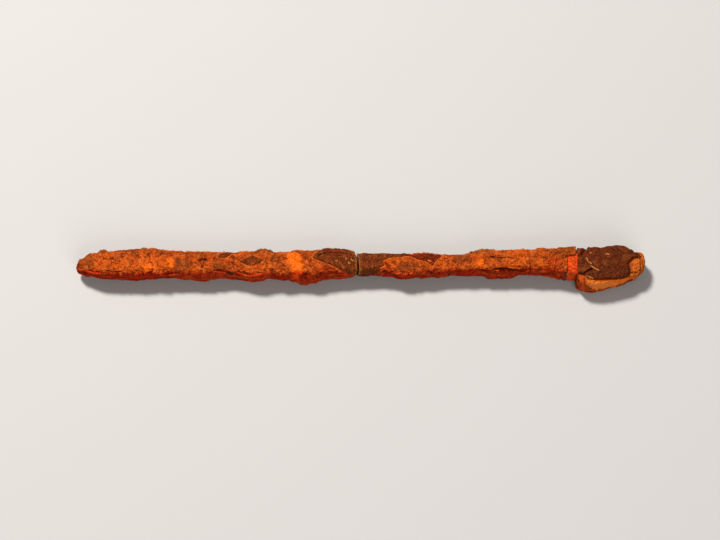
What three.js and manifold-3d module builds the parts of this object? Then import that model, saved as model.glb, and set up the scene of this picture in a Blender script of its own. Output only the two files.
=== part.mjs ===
// Rail spike: a slender forged hook-head spike, corroded through its surface and broken in two
// across the shank. It lies on one side. +X runs along the spike towards the head, the hook
// projects towards -Y, and +Z is up. Millimetres.
//
// Inside is what is left of the iron bar, in two lengths. Round it is a sleeve of corrosion crust,
// and on the crust lie scales, lenses and nodules, each of which lifts off as a piece of its own.

import * as THREE from 'three';
import { mergeVertices } from 'three/addons/utils/BufferGeometryUtils.js';
import Module from 'manifold-3d';

const wasm = await Module();
wasm.setup();

// ---- Driving dimensions -------------------------------------------------------------------

const LENGTH = 203.2;               // 8 in from the point to the striking face
const POINT_X = -LENGTH / 2;
const STRIKING_X = LENGTH / 2;

const BREAK_X = -1.3;               // middle of the fracture
const BREAK_OPENING = 0.7;          // how far the two lengths lie apart
const BREAK_LEFT = BREAK_X - BREAK_OPENING / 2;
const BREAK_RIGHT = BREAK_X + BREAK_OPENING / 2;

const NECK_X = 73.4;                // the shank's crust ends here and bare iron shows
const HOOK_X = 77.0;                // plane of the hook's underside
const RIM_X = 98.4;                 // the head's crust ends here, under the striking face's own layer

const GAP = 0.3;                    // clearance between pieces that lie against each other
const HOOK_WALL = 1.0;              // crust on the hook's underside
const CAP_FRONT_Y = 2.2;            // the crust left on the back of the neck reaches this far forward

const CRUST_RADIUS = 2.3;           // rounding of the sleeve's four edges
const CORE_RADIUS = 0.8;
const HEAD_RADIUS = 1.3;
const CORNER_STEPS = 3;             // facets round each edge
const CUT_REACH = 20;               // how far a cutting solid runs past what it cuts

// ---- Sections along the spike --------------------------------------------------------------
// Each row is x, then the section's back and front in Y, and its underside and top in Z, all
// measured from the middle of the bar across and from the resting plane up.

const POINT_CRUST = [
  [POINT_X, 1.2, -1.2, 2.6, 6.6],
  [-99.8, 2.4, -2.7, 1.5, 7.6],
  [-97.5, 3.2, -3.6, 0.9, 8.4],
  [-93.9, 4.3, -4.2, 0.3, 8.9],
  [-90.0, 4.5, -4.5, 0.0, 9.1],
  [-85.4, 4.7, -4.7, 0.0, 9.3],
  [-79.6, 5.5, -5.1, 0.0, 9.5],
  [-75.3, 5.4, -4.3, 0.2, 9.4],
  [-68.2, 4.8, -4.0, 0.3, 9.3],
  [-61.0, 4.1, -4.7, 0.2, 9.3],
  [-55.7, 4.3, -5.2, 0.0, 9.4],
  [-49.6, 4.3, -4.0, 0.2, 9.3],
  [-43.2, 4.3, -4.6, 0.0, 9.3],
  [-38.5, 4.6, -5.6, 0.0, 9.3],
  [-33.0, 4.6, -4.6, 0.2, 9.3],
  [-24.6, 5.0, -4.8, 0.0, 9.5],
  [-18.0, 4.9, -5.0, 0.0, 9.5],
  [-12.4, 5.5, -4.5, 0.0, 9.5],
  [-7.4, 5.4, -4.1, 0.2, 9.3],
  [-3.8, 4.7, -3.4, 0.4, 9.1],
  [BREAK_LEFT, 4.3, -3.1, 0.5, 9.0],
];

const SHANK_CRUST = [
  [BREAK_RIGHT, 3.4, -3.6, 0.6, 8.9],
  [5.1, 3.5, -3.7, 0.5, 8.9],
  [11.2, 3.7, -4.0, 0.4, 8.9],
  [16.9, 3.6, -3.9, 0.4, 8.9],
  [23.0, 4.0, -3.7, 0.4, 9.0],
  [31.2, 3.1, -3.6, 0.5, 8.9],
  [36.6, 3.5, -3.6, 0.4, 9.0],
  [42.6, 4.8, -3.7, 0.2, 9.2],
  [47.6, 4.9, -4.4, 0.0, 9.3],
  [53.4, 5.1, -4.2, 0.0, 9.4],
  [58.0, 5.3, -4.0, 0.0, 9.4],
  [71.0, 6.0, -4.7, 0.0, 9.6],
  [HOOK_X - GAP, 6.3, -5.0, 0.0, 9.7],
];

const HEAD_CRUST = [
  [HOOK_X, 5.3, -8.5, 0.0, 9.4],
  [78.4, 5.4, -8.8, 0.0, 9.6],
  [82.5, 5.5, -8.9, 0.0, 9.6],
  [88.0, 5.7, -8.1, 0.0, 9.6],
  [92.0, 6.2, -6.7, 0.2, 9.6],
  [95.2, 5.4, -5.4, 0.6, 9.2],
  [RIM_X, 4.2, -3.5, 1.4, 8.4],
];

const STRIKING_FACE = [
  [RIM_X + GAP, 4.1, -3.3, 1.5, 8.2],
  [100.4, 3.5, -2.3, 1.9, 7.8],
  [STRIKING_X, 2.4, -1.0, 2.6, 7.0],
];

const POINT_CORE = [
  [-98.4, 0.8, -1.0, 3.4, 6.2],
  [-95.0, 1.9, -2.1, 2.5, 7.0],
  [-88.0, 2.9, -2.9, 1.9, 7.5],
  [-60.0, 2.7, -2.9, 1.8, 7.5],
  [-30.0, 2.9, -2.9, 1.8, 7.5],
  [-12.0, 2.9, -2.7, 1.8, 7.5],
  [BREAK_LEFT, 2.4, -2.1, 1.9, 7.2],
];

const SHANK_CORE = [
  [BREAK_RIGHT, 2.3, -2.2, 1.9, 7.1],
  [20.0, 2.3, -2.4, 1.9, 7.1],
  [33.0, 2.0, -2.4, 1.9, 7.1],
  [46.0, 2.9, -2.6, 1.8, 7.4],
  [60.0, 3.5, -2.7, 1.6, 7.7],
  [71.0, 4.2, -3.6, 1.2, 8.3],
  [NECK_X, 4.4, -4.0, 1.0, 8.5],
];

const NECK = [4.4, -4.4, 1.0, 8.5];

const HEAD_CORE = [
  [HOOK_X + HOOK_WALL + GAP, 4.6, -7.5, 0.9, 8.6],
  [83.0, 4.6, -7.6, 0.9, 8.6],
  [88.0, 4.5, -6.8, 0.9, 8.6],
  [93.0, 4.2, -5.0, 1.3, 8.3],
  [96.6, 3.2, -3.0, 2.3, 7.4],
];

// ---- Pieces that lie on the crust -----------------------------------------------------------
// A scale is a thin plate with a broken outline in X and Y, let into the crust from above.

const SCALES = [
  {
    name: 'scale_on_point', crust: 'point_crust', underside: 8.2, top: 9.0, colour: 0x7d4a33,
    outline: [[-98.8, 0.3], [-97.4, 1.9], [-94.9, 2.4], [-94.4, 0.5], [-96.2, -0.8], [-98.2, -0.6]],
  },
  {
    name: 'scale_lens_back', crust: 'point_crust', underside: 8.7, top: 9.6, colour: 0x6a3420,
    outline: [[-51.0, 1.2], [-49.6, 2.6], [-47.4, 3.3], [-45.6, 3.2], [-46.6, 1.6], [-48.6, 0.6]],
  },
  {
    name: 'scale_lens_middle', crust: 'point_crust', underside: 8.7, top: 9.6, colour: 0x64381f,
    outline: [
      [-42.8, -0.3], [-40.5, 1.2], [-38.6, 1.8], [-36.6, 1.2],
      [-34.6, 0.1], [-36.5, -1.2], [-38.8, -1.8], [-41.0, -1.1],
    ],
  },
  {
    name: 'scale_left_of_break', crust: 'point_crust', underside: 8.6, top: 9.7, colour: 0x59391f,
    outline: [
      [-17.1, 2.6], [-12.4, 3.9], [-5.6, 3.7], [BREAK_LEFT, 3.2], [BREAK_LEFT, -2.2],
      [-4.2, -2.6], [-7.4, -2.6], [-11.0, -1.7], [-13.9, -0.5], [-16.7, 1.0],
    ],
  },
  {
    name: 'scale_right_of_break', crust: 'shank_crust', underside: 8.2, top: 9.2, colour: 0x5c3a24,
    outline: [
      [BREAK_RIGHT, 2.4], [4.5, 2.6], [10.0, 2.6], [15.4, 2.3], [15.2, 1.6],
      [10.4, 1.5], [8.2, 0.2], [6.4, -1.6], [4.8, -2.5], [BREAK_RIGHT, -2.6],
    ],
  },
  {
    name: 'scale_lens_shank', crust: 'shank_crust', underside: 8.2, top: 9.3, colour: 0x5e2f1d,
    outline: [
      [17.0, 2.2], [20.5, 2.8], [25.0, 2.9], [28.2, 2.0],
      [26.6, 0.4], [25.2, -1.4], [23.4, -0.6], [19.6, 0.9],
    ],
  },
  {
    name: 'head_cheek_scale', crust: 'head_crust', underside: 9.5, top: 10.4, colour: 0x4f3a2c,
    outline: [
      [80.2, 4.3], [85.4, 4.4], [89.6, 5.0], [93.4, 5.0], [95.4, 2.8], [95.2, -3.6],
      [92.6, -5.6], [87.8, -7.0], [83.0, -7.6], [80.3, -6.2], [79.6, -3.2], [77.6, -4.0], [77.6, 1.6],
    ],
  },
  {
    name: 'head_hook_scale', crust: 'head_crust', underside: 9.5, top: 10.2, colour: 0x5a4030,
    outline: [[77.6, -4.6], [79.3, -3.8], [79.8, -6.5], [81.2, -7.6], [78.2, -7.7]],
  },
  {
    name: 'head_corner_scale', crust: 'head_crust', underside: 9.5, top: 10.3, colour: 0x54392b,
    outline: [[77.6, 2.3], [79.4, 4.3], [77.6, 4.4]],
  },
];

// A nodule is a rounded lump grown on the crust: its centre and its three half sizes.

const NODULES = [
  { name: 'nodule_back_of_point', crust: 'point_crust', at: [-92.3, 4.0, 8.6], half: [2.5, 1.5, 1.3] },
  { name: 'nodule_back_of_taper', crust: 'point_crust', at: [-77.8, 4.8, 8.7], half: [2.4, 1.3, 0.9] },
  { name: 'nodule_front_knob', crust: 'point_crust', at: [-46.4, -3.9, 8.5], half: [2.0, 1.2, 1.1] },
  { name: 'flake_back_of_lens', crust: 'point_crust', at: [-34.8, 4.0, 8.9], half: [2.8, 1.5, 0.9] },
  { name: 'blister_front_foot', crust: 'point_crust', at: [-19.8, -5.3, 2.7], half: [5.0, 1.5, 1.8] },
  { name: 'blister_front_shank', crust: 'shank_crust', at: [26.5, -4.1, 6.3], half: [4.4, 1.1, 1.9] },
  { name: 'flake_back_of_shank', crust: 'shank_crust', at: [43.2, 4.1, 8.8], half: [4.8, 1.7, 0.9] },
  { name: 'blister_front_flap', crust: 'shank_crust', at: [50.5, -4.6, 5.6], half: [6.6, 1.1, 2.8] },
];

// ---- Colours --------------------------------------------------------------------------------

const CRUST_COLOUR = 0xb0521d;
const HEAD_CRUST_COLOUR = 0xb8682c;
const CORE_COLOUR = 0x9c3a14;
const STRIKING_COLOUR = 0xa85a28;
const NODULE_COLOUR = 0x8a5a26;
const RUST_ROUGHNESS = 0.92;
const SCALE_ROUGHNESS = 0.7;

// ---- Solids ---------------------------------------------------------------------------------

// A ring of points round a rounded rectangle in the plane at x.
function ring([x, back, front, low, high], cornerRadius) {
  const radius = Math.min(cornerRadius, 0.45 * (back - front), 0.45 * (high - low));
  const corners = [
    [back - radius, high - radius],
    [front + radius, high - radius],
    [front + radius, low + radius],
    [back - radius, low + radius],
  ];
  const points = [];
  corners.forEach(([y, z], quarter) => {
    for (let step = 0; step <= CORNER_STEPS; step += 1) {
      const angle = (quarter + step / CORNER_STEPS) * Math.PI / 2;
      points.push([x, y + radius * Math.cos(angle), z + radius * Math.sin(angle)]);
    }
  });
  return points;
}

// A closed body through rings of equal size, in order of x, with a flat cap at each end.
function loft(rings) {
  const size = rings[0].length;
  const faces = [];
  for (let r = 0; r + 1 < rings.length; r += 1) {
    for (let p = 0; p < size; p += 1) {
      const next = (p + 1) % size;
      const [a, b] = [r * size + p, r * size + next];
      faces.push(a, b, b + size, a, b + size, a + size);
    }
  }
  const last = (rings.length - 1) * size;
  for (let p = 1; p + 1 < size; p += 1) {
    faces.push(0, p + 1, p, last, last + p, last + p + 1);
  }
  const geometry = new THREE.BufferGeometry();
  geometry.setAttribute('position', new THREE.Float32BufferAttribute(rings.flat(2), 3));
  geometry.setIndex(faces);
  return geometry;
}

function barGeometry(sections, cornerRadius) {
  return loft(sections.map((section) => ring(section, cornerRadius)));
}

function grown([x, back, front, low, high], amount) {
  return [x, back + amount, front - amount, low - amount, high + amount];
}

function toSolid(geometry) {
  const bare = geometry.clone();
  bare.deleteAttribute('normal');
  bare.deleteAttribute('uv');
  const merged = mergeVertices(bare);
  return new wasm.Manifold(new wasm.Mesh({
    numProp: 3,
    vertProperties: new Float32Array(merged.attributes.position.array),
    triVerts: new Uint32Array(merged.index.array),
  }));
}

function toGeometry(solid) {
  const { vertProperties, triVerts } = solid.getMesh();
  const geometry = new THREE.BufferGeometry();
  geometry.setAttribute('position', new THREE.BufferAttribute(vertProperties, 3));
  geometry.setIndex(new THREE.BufferAttribute(triVerts, 1));
  return geometry;
}

// A box between two corners, as a solid to cut with.
function boxSolid(low, high) {
  const size = high.map((value, axis) => value - low[axis]);
  const box = new THREE.BoxGeometry(...size);
  box.translate(...low.map((value, axis) => value + size[axis] / 2));
  return toSolid(box);
}

// ---- Iron ------------------------------------------------------------------------------------

const neckIn = [NECK_X + 2 * GAP, ...NECK];
const neckOut = [HOOK_X + HOOK_WALL + GAP, ...NECK];

function pointCore() {
  return barGeometry(POINT_CORE, CORE_RADIUS);
}

function headCore() {
  return barGeometry([...SHANK_CORE, neckIn, neckOut, ...HEAD_CORE], CORE_RADIUS);
}

// ---- Corrosion crust --------------------------------------------------------------------------

// The room that the point length's iron takes up inside its crust, open at the break.
function pointBore() {
  const sections = POINT_CORE.map((section) => grown(section, GAP));
  sections[0][0] -= GAP;
  sections[sections.length - 1][0] += CUT_REACH;
  return toSolid(barGeometry(sections, CORE_RADIUS + GAP));
}

function shankBore() {
  const beyond = [neckOut[0] + CUT_REACH, ...NECK];
  const sections = [...SHANK_CORE, neckIn, beyond].map((section) => grown(section, GAP));
  sections[0][0] -= CUT_REACH;
  return toSolid(barGeometry(sections, CORE_RADIUS + GAP));
}

// The head's hollow: a hole for the neck, then the room for the forged hook behind it.
function headBore() {
  const hollowStart = HOOK_X + HOOK_WALL;
  const hole = [HOOK_X - CUT_REACH, hollowStart].map((x) => grown([x, ...NECK], GAP));
  const hollow = HEAD_CORE.map((section) => grown(section, GAP));
  hollow[0][0] = hollowStart;
  hollow[hollow.length - 1][0] += GAP;
  return toSolid(barGeometry([...hole, ...hollow], CORE_RADIUS + GAP));
}

// What has fallen off round the neck: everything but the cap on its back.
function neckWindow() {
  return boxSolid([NECK_X, -CUT_REACH, -CUT_REACH], [HOOK_X + CUT_REACH, CAP_FRONT_Y, CUT_REACH]);
}

const crusts = {
  point_crust: toSolid(barGeometry(POINT_CRUST, CRUST_RADIUS)).subtract(pointBore()),
  shank_crust: toSolid(barGeometry(SHANK_CRUST, CRUST_RADIUS)).subtract(shankBore()).subtract(neckWindow()),
  head_crust: toSolid(barGeometry(HEAD_CRUST, HEAD_RADIUS)).subtract(headBore()),
};

// ---- Scales and nodules ------------------------------------------------------------------------

function scaleGeometry(scale, clearance) {
  const shape = new THREE.Shape(scale.outline.map(([x, y]) => new THREE.Vector2(x, y)));
  const geometry = new THREE.ExtrudeGeometry(shape, {
    depth: scale.top - scale.underside + (clearance > 0 ? CUT_REACH : 0),
    bevelEnabled: true,
    bevelThickness: 0,
    bevelSize: 0,
    bevelSegments: 0,
    bevelOffset: clearance,
  });
  geometry.translate(0, 0, scale.underside - clearance);
  return geometry;
}

function noduleGeometry(nodule, clearance) {
  const geometry = new THREE.SphereGeometry(1, 12, 8);
  geometry.scale(...nodule.half.map((value) => value + clearance));
  geometry.translate(...nodule.at);
  return geometry;
}

// Each piece lies in a bed of its own shape, a clearance larger, in the crust under it.
for (const scale of SCALES) {
  crusts[scale.crust] = crusts[scale.crust].subtract(toSolid(scaleGeometry(scale, GAP)));
}
for (const nodule of NODULES) {
  crusts[nodule.crust] = crusts[nodule.crust].subtract(toSolid(noduleGeometry(nodule, GAP)));
}

// ---- Assembly -----------------------------------------------------------------------------------

const spike = new THREE.Group();

function addPiece(name, geometry, color, roughness) {
  const material = new THREE.MeshStandardMaterial({ color, roughness, metalness: 0 });
  const mesh = new THREE.Mesh(geometry, material);
  mesh.name = name;
  spike.add(mesh);
}

addPiece('point_core', pointCore(), CORE_COLOUR, RUST_ROUGHNESS);
addPiece('head_core', headCore(), CORE_COLOUR, RUST_ROUGHNESS);
addPiece('point_crust', toGeometry(crusts.point_crust), CRUST_COLOUR, RUST_ROUGHNESS);
addPiece('shank_crust', toGeometry(crusts.shank_crust), CRUST_COLOUR, RUST_ROUGHNESS);
addPiece('head_crust', toGeometry(crusts.head_crust), HEAD_CRUST_COLOUR, RUST_ROUGHNESS);
addPiece('striking_face_layer', barGeometry(STRIKING_FACE, HEAD_RADIUS), STRIKING_COLOUR, RUST_ROUGHNESS);
for (const scale of SCALES) {
  addPiece(scale.name, scaleGeometry(scale, 0), scale.colour, SCALE_ROUGHNESS);
}
for (const nodule of NODULES) {
  addPiece(nodule.name, noduleGeometry(nodule, 0), NODULE_COLOUR, RUST_ROUGHNESS);
}

// The origin goes to the middle of the footprint, on the resting plane.
const box = new THREE.Box3().setFromObject(spike);
spike.position.set(-(box.min.x + box.max.x) / 2, -(box.min.y + box.max.y) / 2, -box.min.z);

export default spike;
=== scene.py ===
"""A hook-head rail spike, corroded through its surface and broken in two, lying on a pale floor.

The shapes are worked out in millimetres: x along the spike, y across it from the middle of the bar
(+ towards the back), z up from the floor. make_object() moves them to the shared frame, in metres.

Places on its surface are given as (x, across): across is the height over the middle of the bar as the
camera sees it, and past the edges of what the camera sees it goes on round the bar by surface length.
"""

import itertools
import math

import bpy
import numpy as np
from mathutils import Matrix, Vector
from mathutils.geometry import delaunay_2d_cdt


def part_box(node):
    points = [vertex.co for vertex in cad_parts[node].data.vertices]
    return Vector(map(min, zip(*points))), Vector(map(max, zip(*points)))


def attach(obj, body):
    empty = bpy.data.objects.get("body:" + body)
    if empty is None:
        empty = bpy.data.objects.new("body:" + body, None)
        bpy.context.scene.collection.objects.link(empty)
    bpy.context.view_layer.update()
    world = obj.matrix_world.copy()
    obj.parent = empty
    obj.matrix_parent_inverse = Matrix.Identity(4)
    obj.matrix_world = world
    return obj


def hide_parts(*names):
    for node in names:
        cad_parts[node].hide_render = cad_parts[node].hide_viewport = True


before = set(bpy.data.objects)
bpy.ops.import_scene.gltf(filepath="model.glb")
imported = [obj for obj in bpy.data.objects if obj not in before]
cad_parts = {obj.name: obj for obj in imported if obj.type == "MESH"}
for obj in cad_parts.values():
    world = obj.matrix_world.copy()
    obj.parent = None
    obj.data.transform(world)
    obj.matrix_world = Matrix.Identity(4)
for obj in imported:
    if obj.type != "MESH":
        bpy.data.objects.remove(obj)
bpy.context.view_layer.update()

# ---- Driving dimensions ----

MM = 0.001
AXIS_Z = 4.7  # the bar's middle above the floor
HOOK_REACH = 8.9  # from the bar's middle to the front of the hook
BAR_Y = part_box("head_crust")[0].y / MM + HOOK_REACH

POINT_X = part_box("point_crust")[0].x / MM
STRIKING_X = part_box("striking_face_layer")[1].x / MM
HOOK_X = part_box("head_crust")[0].x / MM
RIM_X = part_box("head_crust")[1].x / MM
BREAK_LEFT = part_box("point_crust")[1].x / MM
BREAK_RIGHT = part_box("shank_crust")[0].x / MM
BREAK_X = (BREAK_LEFT + BREAK_RIGHT) / 2
CAP_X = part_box("shank_crust")[1].x / MM
IRON_POINT_X = -98.4  # where the iron inside begins, at the point,
IRON_END_X = HOOK_X + 1.2  # and where it ends, inside the head
NECK_X = 73.4  # where the shank's crust is broken away from the neck
CAP_EDGE = 3.7  # the crust left on the back of the neck starts here,
CAP_FAR_EDGE = 9.7  # and ends here, round the back

ELEVATION = math.radians(68)  # the camera looks down by this much
VIEW_UP = np.array([math.sin(ELEVATION), math.cos(ELEVATION)])  # what y and z add to the view's height
VIEW_BACK = np.array([-math.cos(ELEVATION), math.sin(ELEVATION)])  # from the spike to the camera: y, z

SLIT = 0.74  # how much wider the break is at the crust's surface than inside
INNER_GAP = 0.12  # between the broken faces, inside
COVER_GAP = 0.1  # how much further apart than SLIT the scales at the break are
PALE_EDGE = 0.1  # width of the break's pale edge, before it fades
CORE_GAP = 0.05  # between the iron and its bore
FACE_RINGS = 12  # rings over the crust's broken face
DEEPEST = 1.4  # the most that relief cuts into the crust's upper side
PULL_LENGTH = 4  # the length of crust that is drawn out to the broken face
RIM_CRACK = 0.38  # from RIM_X to the layer on the striking face
RIM_BULGE = 0.95  # how far the crack before that layer bulges towards the end
FLOOR_GAP = 0.02  # the crust comes no nearer to the floor
FINE = 0.22  # spacing of the crust's mesh
COVER_FINE = 0.2  # spacing of the meshes that lie on the crust,
HEAD_COVER_FINE = 0.16  # and of those on the head
RING_POINTS = 160  # points round the crust's mesh
ARC_SHARE = 0.44  # share of them on the four rounded edges

# Radii of the four long edges: back low, back top, front top, front low.
CRUST_RADII = (2.6, 2.5, 2.3, 2.6)
HEAD_RADII = (1.3, 1.3, 2.2, 1.3)
CORE_RADII = (0.8, 0.8, 0.8, 0.8)

# Sections: x, then back and front in y, and underside and top in z.

POINT_SECTIONS = [
    [POINT_X, 0.2, -2.3, 1.9, 7.2],
    [-99.7, 1.8, -2.9, 1.3, 7.8],
    [-97.5, 3.6, -3.7, 0.9, 8.3],
    [-93.9, 4.2, -4.6, 0.3, 8.9],
    [-90, 4.4, -5, 0.2, 9.1],
    [-85.4, 4.8, -5.2, 0.1, 9.2],
    [-79.6, 5.4, -5.3, 0.2, 9.4],
    [-75.3, 5.3, -5, 0.3, 9.4],
    [-68.2, 4.7, -4.5, 0.3, 9.2],
    [-61, 4, -4.7, 0.3, 9.1],
    [-55.7, 3.9, -4.9, 0.1, 9.2],
    [-49.6, 3.9, -3.8, 0.3, 9.2],
    [-43.2, 4.1, -4.6, 0.2, 9.2],
    [-38.5, 4.3, -5.4, 0.1, 9.2],
    [-33, 4.2, -4.8, 0.2, 9.1],
    [-27, 4.1, -5.5, 0.2, 9.2],
    [-23.5, 4.7, -5, 0.2, 9.3],
    [-18, 4.6, -5.4, 0.1, 9.3],
    [-12.4, 5.2, -4.5, 0.2, 9.3],
    [-7.4, 5.2, -4, 0.3, 9.1],
    [-3.8, 4.7, -3.4, 0.4, 9],
    [BREAK_LEFT, 4, -3.2, 0.5, 8.8],
]

SHANK_SECTIONS = [
    [BREAK_RIGHT, 3.8, -3.6, 0.6, 8.8],
    [5.1, 3.9, -3.6, 0.5, 8.8],
    [11.2, 3.6, -4.2, 0.4, 8.8],
    [13.5, 3.6, -5, 0.3, 8.8],
    [16.9, 3.6, -4.8, 0.3, 8.8],
    [23, 3.9, -4, 0.4, 8.9],
    [31.2, 3.2, -3.5, 0.4, 8.8],
    [36.6, 3.4, -3.9, 0.4, 8.8],
    [42.6, 4.2, -3.8, 0.3, 9],
    [47.6, 4.5, -3.8, 0.2, 9.1],
    [51, 4.7, -3.7, 0.1, 9.2],
    [56.5, 5, -3.3, 0.2, 9.3],
    [63.5, 5.4, -3.6, 0.3, 9.3],
    [67.5, 5.3, -3.6, 0.2, 9.4],
    [71, 5.8, -3.9, 0.1, 9.5],
    [CAP_X, 6, -4.2, 0.1, 9.6],
]

HEAD_SECTIONS = [
    [HOOK_X, 4.9, -7.6, 0.3, 9],
    [78.3, 4.9, -8.2, 0.1, 9.1],
    [80.6, 5, -8.7, 0, 9.1],
    [84.5, 5, -8.4, 0, 9.1],
    [88.6, 5.5, -7.5, 0.1, 9.2],
    [92.5, 5.9, -6.4, 0.3, 9.1],
    [94.5, 5.6, -5.8, 0.5, 8.9],
    [96, 4.8, -5.2, 0.8, 8.6],
    [RIM_X, 4.2, -4, 1.3, 8.2],
    [99.8, 4.2, -2.4, 1.7, 8],
    [STRIKING_X, 3.3, -0.8, 2.4, 7.4],
]

POINT_CORE_SECTIONS = [
    [IRON_POINT_X, 0.8, -1, 3.4, 6.2],
    [-95, 1.9, -2.1, 2.5, 7],
    [-88, 2.7, -2.7, 1.9, 7.4],
    [-84, 2.7, -2.7, 1.9, 7.4],
    [-16, 2.7, -2.7, 1.9, 7.4],
    [-12, 2.7, -2.6, 1.9, 7.4],
    [BREAK_LEFT, 2.3, -2, 1.9, 7.1],
]

SHANK_CORE_SECTIONS = [
    [BREAK_RIGHT, 2.3, -2.1, 1.9, 7.1],
    [20, 2.2, -2.3, 1.9, 7],
    [33, 1.9, -2.2, 1.9, 7],
    [46, 2.8, -2.2, 1.8, 7.3],
    [60, 3.2, -1.6, 1.8, 7.5],
    [68, 3.9, -2.6, 1.4, 8.2],
    [73, 4.5, -4.2, 0.8, 8.9],
    [HOOK_X + 1.3, 4.2, -4.7, 0.8, 8.7],
]

# ---- Repeatable noise ----

EDGE_DIRECTIONS = np.array([
    d for d in itertools.product((-1, 0, 1), repeat=3) if sum(map(abs, d)) == 2
])


def hashed(cell, seed):
    """A repeatable value from 0 to 1 for each row of whole numbers."""
    bits = cell[:, 0] * 374761393 + cell[:, 1] * 668265263 + cell[:, 2] * 1274126177 + seed * 362437
    bits &= 0xFFFFFFFF
    for shift, factor in ((13, 1103515245), (16, 1664525)):
        bits = ((bits ^ (bits >> shift)) * factor) & 0xFFFFFFFF
    return ((bits ^ (bits >> 15)) % 65521) / 65521


def noise(points, seed):
    """Smooth noise, about -1 to 1, that changes over a distance of 1."""
    cell = np.floor(points).astype(np.int64)
    part = points - cell
    fade = part ** 3 * (part * (part * 6 - 15) + 10)
    total = np.zeros(len(points))
    for corner in itertools.product((0, 1), repeat=3):
        pick = (hashed(cell + corner, seed) * len(EDGE_DIRECTIONS)).astype(int)
        weight = np.prod(np.where(corner, fade, 1 - fade), axis=1)
        total += weight * ((part - corner) * EDGE_DIRECTIONS[pick]).sum(axis=1)
    return total


def rough(points, size, seed, octaves=3, fall=0.5):
    """Noise with finer noise on it: size is its largest feature, in millimetres."""
    total = np.zeros(len(points))
    for octave in range(octaves):
        total += fall ** octave * noise(points * (2 ** octave / size) + 17.3 * octave, seed + octave)
    return total


def cells(points, size, seed):
    """Distance to the nearest and the second nearest of scattered points, in units of size."""
    place = points / size
    base = np.floor(place).astype(np.int64)
    near = np.full(len(points), 9.0)
    second = near.copy()
    for step in itertools.product((-1, 0, 1), repeat=3):
        cell = base + step
        spot = cell + np.stack([hashed(cell, seed + k) for k in range(3)], axis=1)
        gap = np.linalg.norm(spot - place, axis=1)
        second = np.minimum(second, np.maximum(near, gap))
        near = np.minimum(near, gap)
    return near, second


def smoothstep(low, high, value):
    t = np.clip((value - low) / (high - low), 0, 1)
    return t * t * (3 - 2 * t)


# ---- Places on the surface: (x, across) ----

def line_distance(x, across, line):
    """Distance from each (x, across) to a line through points."""
    nearest = np.full(len(x), 1e6)
    for (x0, a0), (x1, a1) in zip(line, line[1:]):
        run = (x1 - x0, a1 - a0)
        t = ((x - x0) * run[0] + (across - a0) * run[1]) / (run[0] ** 2 + run[1] ** 2)
        t = np.clip(t, 0, 1)
        nearest = np.minimum(nearest, np.hypot(x - x0 - t * run[0], across - a0 - t * run[1]))
    return nearest


def depth_inside(x, across, outline):
    """How far each (x, across) lies inside a closed outline: below 0 outside it."""
    closed = list(outline) + [outline[0]]
    inside = np.zeros(len(x), bool)
    for (x0, a0), (x1, a1) in zip(closed, closed[1:]):
        if a0 != a1:
            crosses = (a0 > across) != (a1 > across)
            inside ^= crosses & (x < x0 + (across - a0) * (x1 - x0) / (a1 - a0))
    distance = line_distance(x, across, closed)
    return np.where(inside, distance, -distance)


def mask(x, across, ragged, outlines, soft):
    """1 inside any of the outlines and 0 outside, with an edge that is soft and follows ragged."""
    total = np.zeros(len(x))
    for outline in outlines:
        low, high = np.min(outline, axis=0) - 2, np.max(outline, axis=0) + 2
        close = (x > low[0]) & (x < high[0]) & (across > low[1]) & (across < high[1])
        if close.any():
            depth = depth_inside(x[close], across[close], outline) + ragged[close]
            total[close] = np.maximum(total[close], smoothstep(-soft, soft, depth))
    return total


# Ochre rust, where the crust is freshest.
OCHRE = [
    [(-95, 2.7), (-93.6, 4.6), (-90.4, 4.6), (-88.2, 3), (-89, 0.5), (-91.8, -1.3), (-94.3, -0.9)],
    [(-88.6, 2.6), (-84.5, 2), (-82, -0.6), (-86, -2.2), (-89.4, -0.6)],
    [(-81.1, 1.3), (-78.9, 2.8), (-75.3, 4.1), (-71.8, 3), (-69.8, 1.3), (-72.5, -2), (-79.6, -2.3)],
    [(-70, 3.2), (-67.5, 2.8), (-66.4, 0.5), (-68.2, -0.9), (-69.6, -0.2)],
    [(-60.2, 4), (-57.4, 4.3), (-56.8, 3.2), (-59.4, 2.7)],
    [(-62, -1.2), (-57.5, -0.4), (-54.5, -1.6), (-56.5, -3.4), (-61, -3)],
    [(-45.3, 4.8), (-41.4, 4.8), (-43.2, 3), (-45.3, 2.7)],
    [(-43.2, -0.4), (-38.5, -1), (-35.3, 0), (-34.2, -1.8), (-38.2, -5), (-41.7, -3.6)],
    [(9.5, 1.4), (12, 2.4), (14.8, 1.8), (13.6, 0.4), (10.6, 0.2)],
    [(26.4, 1.3), (28.3, 2.8), (31, 2.2), (31.6, 0.2), (29.8, -1.4), (27.8, -0.7)],
    [(40.1, 3), (42.6, 3.8), (44.8, 2.3), (44.4, -0.9), (42.3, -1.6), (40.5, -0.2)],
    [(51.2, 4.1), (54.8, 5.5), (59.1, 5.5), (59.4, 1.3), (56.9, -1.3), (53.4, -0.9), (51.9, 1.3)],
    [(61.2, 3.4), (64.1, 4.1), (66.6, 3), (66.2, -0.2), (63.4, -0.9)],
]
# The most vivid spots, almost yellow.
VIVID = [
    [(-26, 4.1), (-23.9, 4.8), (-21.7, 3.4), (-20.3, 0.5), (-21, -3), (-22.8, -5),
     (-24.9, -4.6), (-24.4, -0.9), (-26.4, 2)],
    [(-77.6, -0.2), (-75.2, 0.5), (-72.5, 0), (-73.4, -1.6), (-76.8, -1.6)],
    [(-69.6, 2.2), (-67.4, 2.6), (-66.3, 1.4), (-66.9, -0.7), (-68.8, 0.2)],
    [(41.4, 2.2), (43, 2.6), (43.8, 1.2), (43.2, -0.4), (42, -0.6)],
]
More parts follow.
